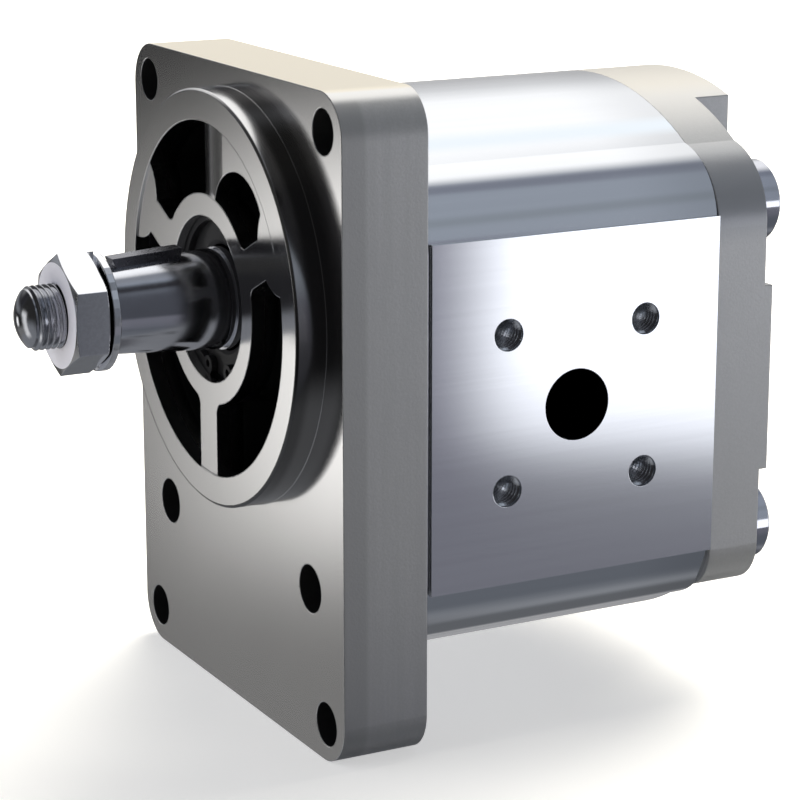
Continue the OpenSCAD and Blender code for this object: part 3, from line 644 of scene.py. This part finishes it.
def soft_material(name, colour, rough):
    """Moulded rubber or plastic with a fine skin"""
    made, tree, shader, place = material(name)
    grain = use(tree, EFFECTS["grain"], Vector=place, Scale=2400.0)
    tone = mix_colour(tree, grain["Speckle"], rgba(colour, 0.85), rgba(colour, 1.15))
    wire(tree, shader, Base_Color=tone, Roughness=rough,
         Normal=relief(tree, grain["Height"], depth=0.00002, edge=0.0002))
    return made


# Helpers for pieces


def new_object(shape, name, made):
    """Turns a bmesh into an object of the scene with one material"""
    mesh = bpy.data.meshes.new(name)
    shape.to_mesh(mesh)
    shape.free()
    mesh.materials.append(made)
    thing = bpy.data.objects.new(name, mesh)
    bpy.context.scene.collection.objects.link(thing)
    return thing


def finish_piece(shape, name, made, body):
    """Turns a bmesh into a piece with a finish that rides on a body"""
    piece = new_object(shape, name, made)
    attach(piece, body)
    return piece


def thread_turn(shape, root, crest, pitch):
    """One turn of a thread as (radius, advance) points"""
    return [(crest if high else root, pitch * share) for high, share in shape]


def coil(target, profile, start, axis, pitch, turns, steps):
    """Winds a profile of (radius, advance) points into a thread about an axis, steps to a turn"""
    corners = [target.verts.new(start + UP * r + axis * a) for r, a in profile]
    edges = [target.edges.new(pair) for pair in zip(corners, corners[1:])]
    bmesh.ops.spin(target, geom=corners + edges, cent=start, axis=axis, dvec=axis * pitch / steps,
                   angle=2 * math.pi * turns, steps=int(steps * turns),
                   use_merge=False, use_duplicate=False)
    bmesh.ops.remove_doubles(target, verts=target.verts, dist=2e-6)


def turned_piece(target, profile, start, axis, steps=96):
    """Spins a profile of (radius, advance) points once about an axis"""
    corners = [target.verts.new(start + UP * r + axis * a) for r, a in profile]
    edges = [target.edges.new(pair) for pair in zip(corners, corners[1:])]
    bmesh.ops.spin(target, geom=corners + edges, cent=start, axis=axis, angle=2 * math.pi,
                   steps=steps, use_merge=True, use_duplicate=False)
    bmesh.ops.remove_doubles(target, verts=target.verts, dist=1e-6)


def round_off(shape, crease):
    """Smooth shading that breaks at edges with a larger angle than crease"""
    for one in shape.edges:
        one.smooth = len(one.link_faces) == 2 and one.calc_face_angle() < crease
    for one in shape.faces:
        one.smooth = True


# Operators


class PUMP_OT_castings(bpy.types.Operator):
    """Finishes the front cover and the rear cover"""

    bl_idname = "pump.castings"
    bl_label = "Castings"

    def execute(self, context):
        dress("front_cover", flange_metal(context.scene))
        dress("rear_cover", cover_metal(context.scene))
        return {"FINISHED"}


class PUMP_OT_body(bpy.types.Operator):
    """Finishes the extruded pump body"""

    bl_idname = "pump.body"
    bl_label = "Pump body"

    def execute(self, context):
        dress("body", body_metal(context.scene))
        return {"FINISHED"}


class PUMP_OT_port_threads(bpy.types.Operator):
    """Cuts threads into the eight tapped holes round the ports"""

    bl_idname = "pump.port_threads"
    bl_label = "Port threads"

    def execute(self, context):
        sizes = context.scene.sizes
        made = steel_metal(context.scene, "thread metal", context.scene.finish.extruded, 0.2)
        root, pitch = sizes.port_thread_r, sizes.port_pitch
        profile = thread_turn(PORT_THREAD, root, root - PORT_THREAD_CUT, pitch)
        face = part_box("body")[1].x
        threads = bmesh.new()
        for side in (-1, 1):
            for dy in (-1, 1):
                for dz in (-1, 1):
                    start = Vector((side * (face - TAP_START),
                                    PORT_Y + dy * TAP_STEP, PORT_Z + dz * TAP_STEP))
                    coil(threads, profile, start, Vector((-side, 0, 0)), pitch, turns=9, steps=32)
        for one in threads.faces:
            middle = one.calc_center_median()
            hole = Vector((middle.x, PORT_Y + math.copysign(TAP_STEP, middle.y - PORT_Y),
                           PORT_Z + math.copysign(TAP_STEP, middle.z - PORT_Z)))
            if one.normal.dot(hole - middle) < 0:
                one.normal_flip()
        finish_piece(threads, "port_threads", made, "housing")
        return {"FINISHED"}


class PUMP_OT_shaft(bpy.types.Operator):
    """Replaces the drive gear by a copy whose stub has a cut thread and a domed end"""

    bl_idname = "pump.shaft"
    bl_label = "Drive shaft"

    def execute(self, context):
        scene = context.scene
        made = steel_metal(scene, "shaft steel", scene.finish.steel, 0.13, (1.0, 8.0, 1.0),
                           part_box("shaft_nut")[0].y)
        nut_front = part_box("shaft_nut")[0].y
        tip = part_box("drive_gear")[0].y
        shaft = self.plain_shaft(nut_front)
        stub = self.stub(scene.sizes, nut_front, tip)
        joined = bpy.data.meshes.new("thread")
        stub.to_mesh(joined)
        stub.free()
        shaft.from_mesh(joined)
        bpy.data.meshes.remove(joined)
        piece = finish_piece(shaft, "threaded_shaft", made, "drive_shaft")
        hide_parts("drive_gear")
        return {"FINISHED"}

    def plain_shaft(self, nut_front):
        """The drive gear's own mesh up to the nut"""
        shaft = bmesh.new()
        shaft.from_mesh(NODES["drive_gear"].data)
        bmesh.ops.remove_doubles(shaft, verts=shaft.verts, dist=1e-6)
        bmesh.ops.bisect_plane(shaft, geom=shaft.verts[:] + shaft.edges[:] + shaft.faces[:], dist=1e-7,
                               plane_co=(0, nut_front + STUB_GAP, 0), plane_no=FORWARD, clear_outer=True)
        round_off(shaft, crease=math.radians(28))
        return shaft

    def stub(self, sizes, nut_front, tip):
        """The threaded stub with its domed end"""
        crest, pitch = sizes.shaft_thread_r, sizes.shaft_pitch
        profile = thread_turn(SHAFT_THREAD, crest - SHAFT_THREAD_CUT * pitch, crest, pitch)
        thread = bmesh.new()
        start = Vector((0, nut_front + THREAD_START, 0))
        end_y = tip + sizes.dome_rise
        coil(thread, profile, start, FORWARD, pitch, turns=(start.y - end_y) / pitch - 0.9, steps=96)
        for one in thread.verts:
            limit = crest - max(0.0, end_y + THREAD_CHAMFER - one.co.y)
            reach = math.hypot(one.co.x, one.co.z)
            if reach > limit:
                one.co.x *= limit / reach
                one.co.z *= limit / reach
        brim = crest - DOME_INSET
        ball = (brim ** 2 + sizes.dome_rise ** 2) / (2 * sizes.dome_rise)
        lean = math.asin(brim / ball)
        dome = [(brim, -DOME_SINK)] + [(ball * math.sin(lean * k / 10),
                                        sizes.dome_rise - ball * (1 - math.cos(lean * k / 10)))
                                       for k in range(10, -1, -1)]
        turned_piece(thread, dome, Vector((0, end_y, 0)), FORWARD)
        bmesh.ops.recalc_face_normals(thread, faces=thread.faces)
        round_off(thread, crease=math.radians(35))
        return thread


class PUMP_OT_fasteners(bpy.types.Operator):
    """Finishes the nut, washer, key, screws and dowel pins"""

    bl_idname = "pump.fasteners"
    bl_label = "Nut, key and screws"

    def execute(self, context):
        scene = context.scene
        finish = scene.finish
        dress("shaft_nut", nut_metal(scene))
        dress("spring_washer", steel_metal(scene, "washer steel", finish.plated, 0.11))
        dress("woodruff_key", steel_metal(scene, "key steel", KEY_TONE, 0.28))
        dress("cover_screws", steel_metal(scene, "screw steel", finish.screw, 0.11))
        dress("dowel_pins", steel_metal(scene, "pin steel", finish.steel, 0.25))
        return {"FINISHED"}


class PUMP_OT_insides(bpy.types.Operator):
    """Finishes the gears' bearings, seals and rings"""

    bl_idname = "pump.insides"
    bl_label = "Bearings and seals"

    def execute(self, context):
        scene = context.scene
        finish = scene.finish
        dress("driven_gear", steel_metal(scene, "gear steel", finish.steel, 0.22))
        block = steel_metal(scene, "block alloy", BLOCK_TONE, 0.35)
        bush = steel_metal(scene, "bush bronze", BRONZE_TONE, 0.3)
        rubber = soft_material("seal rubber", finish.rubber, 0.45)
        plastic = soft_material("backup plastic", PLASTIC_TONE, 0.5)
        spring = steel_metal(scene, "ring steel", finish.screw, 0.25)
        for end in ("front", "rear"):
            dress(end + "_bearing_block", block)
            dress(end + "_drive_bush", bush)
            dress(end + "_driven_bush", bush)
            dress(end + "_pressure_seal", rubber)
            dress(end + "_backup_ring", plastic)
            dress(end + "_body_seal", rubber)
        dress("shaft_seal", rubber)
        dress("seal_spring", spring)
        dress("seal_retaining_ring", soft_material("blued ring", finish.rubber, 0.5))
        return {"FINISHED"}


class PUMP_OT_stage(bpy.types.Operator):
    """Sets up the floor, the tent, the lamps, the world and the camera"""

    bl_idname = "pump.stage"
    bl_label = "Studio"

    def execute(self, context):
        scene = context.scene
        studio = scene.studio
        self.floor(CAD_BOX[0][2])
        self.tent()
        self.world(scene, studio)
        self.lamp("key softbox", 128, 52, 1.3, studio.key, (1.0, 0.955, 0.84))
        self.lamp("fill softbox", -97, 20, 1.2, studio.fill, (0.96, 0.97, 1.0))
        self.camera(scene, studio)
        scene.view_settings.view_transform = "Standard"
        return {"FINISHED"}

    def floor(self, floor_z):
        """A pale floor that keeps the shadow and isn't mirrored"""
        plate = bmesh.new()
        bmesh.ops.create_grid(plate, x_segments=1, y_segments=1, size=FLOOR_HALF,
                              matrix=Matrix.Translation((0, 0, floor_z)))
        made = bpy.data.materials.new("floor paper")
        tree = blank(made)
        paper = add(tree, "ShaderNodeBsdfDiffuse", {"Color": FLOOR_TONE})
        lift = add(tree, "ShaderNodeEmission",
                   {"Strength": math_node(tree, "MULTIPLY", seen_rays(tree), FLOOR_LIFT)})
        sum_of_both = add(tree, "ShaderNodeAddShader", {0: paper.outputs[0], 1: lift.outputs[0]})
        add(tree, "ShaderNodeOutputMaterial", {"Surface": sum_of_both.outputs[0]})
        floor = new_object(plate, "floor", made)
        floor.visible_glossy = False

    def tent(self):
        """A far sphere with soft windows that only gloss sees"""
        shell = bmesh.new()
        bmesh.ops.create_uvsphere(shell, u_segments=64, v_segments=32, radius=TENT_RADIUS)
        bmesh.ops.reverse_faces(shell, faces=shell.faces)
        made = bpy.data.materials.new("tent cloth")
        tree = blank(made)
        place = add(tree, "ShaderNodeTexCoord").outputs["Object"]
        look = add(tree, "ShaderNodeVectorMath", {0: place}, operation="NORMALIZE").outputs[0]
        colour = TENT_TONE
        for *angles, level in WINDOWS:
            azimuth, elevation, half_w, half_h, blur_w, blur_h = map(math.radians, angles)
            mask = use(tree, EFFECTS["window"], Direction=look, Azimuth=azimuth, Elevation=elevation,
                       Half_width=half_w, Half_height=half_h, Side_blur=blur_w, End_blur=blur_h)["Mask"]
            colour = mix_colour(tree, mask, colour, (*level, 1.0))
        glow = add(tree, "ShaderNodeEmission", {"Color": colour, "Strength": 1.0})
        add(tree, "ShaderNodeOutputMaterial", {"Surface": glow.outputs[0]})
        tent = new_object(shell, "tent", made)
        tent.visible_camera = False
        tent.visible_diffuse = False
        tent.visible_shadow = False
        tent.visible_transmission = False

    def world(self, scene, studio):
        """White where it is seen, dim as a light"""
        scene.world = bpy.data.worlds.new("studio")
        tree = blank(scene.world)
        level = mix_value(tree, seen_rays(tree), studio.ambient, 1.0)
        sky = add(tree, "ShaderNodeBackground", {"Color": (1, 1, 1, 1), "Strength": level})
        add(tree, "ShaderNodeOutputWorld", {"Surface": sky.outputs[0]})

    def lamp(self, name, azimuth, elevation, size, power, colour):
        """A square softbox that stands at two angles in degrees and looks at the pump"""
        data = bpy.data.lights.new(name, "AREA")
        data.shape = "SQUARE"
        data.size = size
        data.energy = power
        data.color = colour
        lamp = bpy.data.objects.new(name, data)
        bpy.context.scene.collection.objects.link(lamp)
        a, e = math.radians(azimuth), math.radians(elevation)
        away = Vector((math.cos(a) * math.cos(e), math.sin(a) * math.cos(e), math.sin(e)))
        lamp.location = AIM + away * LAMP_DISTANCE
        lamp.rotation_euler = away.to_track_quat("Z", "Y").to_euler()
        lamp.visible_glossy = False

    def camera(self, scene, studio):
        """The camera at the photograph's place and angle"""
        a, e, r = studio.azimuth, studio.elevation, studio.roll
        back = Vector((math.sin(a) * math.cos(e), -math.cos(a) * math.cos(e), math.sin(e)))
        right = (-back).cross(UP).normalized()
        up = right.cross(-back)
        turned = math.cos(r) * right + math.sin(r) * up
        upright = math.cos(r) * up - math.sin(r) * right
        data = bpy.data.cameras.new("camera")
        data.sensor_width = 36.0
        data.lens = studio.lens
        data.shift_x, data.shift_y = studio.shift
        data.clip_start = 0.01
        camera = bpy.data.objects.new("camera", data)
        scene.collection.objects.link(camera)
        pose = Matrix((turned, upright, back)).transposed().to_4x4()
        pose.translation = Vector(studio.camera_place)
        camera.matrix_world = pose
        scene.camera = camera


class PUMP_PT_panel(bpy.types.Panel):
    """Lists the pump's pieces and its studio"""

    bl_label = "Gear pump"
    bl_idname = "PUMP_PT_panel"
    bl_space_type = "VIEW_3D"
    bl_region_type = "UI"
    bl_category = "Pump"

    def draw(self, context):
        """Shows a button for each step and all settings"""
        for made in STEPS:
            self.layout.operator(made.bl_idname)
        for group in (context.scene.finish, context.scene.sizes, context.scene.studio):
            for key in group.bl_rna.properties.keys():
                if key not in ("rna_type", "name"):
                    self.layout.prop(group, key)


STEPS = (PUMP_OT_castings, PUMP_OT_body, PUMP_OT_port_threads, PUMP_OT_shaft, PUMP_OT_fasteners,
         PUMP_OT_insides, PUMP_OT_stage)
CLASSES = (PumpFinish, PumpSizes, PumpStudio, *STEPS, PUMP_PT_panel)


def register():
    """Registers the classes and hangs the settings on the scene"""
    for made in CLASSES:
        bpy.utils.register_class(made)
    bpy.types.Scene.finish = bpy.props.PointerProperty(type=PumpFinish)
    bpy.types.Scene.sizes = bpy.props.PointerProperty(type=PumpSizes)
    bpy.types.Scene.studio = bpy.props.PointerProperty(type=PumpStudio)


def unregister():
    """Undoes what register does"""
    del bpy.types.Scene.finish
    del bpy.types.Scene.sizes
    del bpy.types.Scene.studio
    for made in reversed(CLASSES):
        bpy.utils.unregister_class(made)


def main():
    """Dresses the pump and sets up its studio"""
    register()
    EFFECTS.update(build_effects())
    bpy.ops.pump.castings()
    bpy.ops.pump.body()
    bpy.ops.pump.port_threads()
    bpy.ops.pump.shaft()
    bpy.ops.pump.fasteners()
    bpy.ops.pump.insides()
    bpy.ops.pump.stage()


if __name__ == "__main__":
    main()
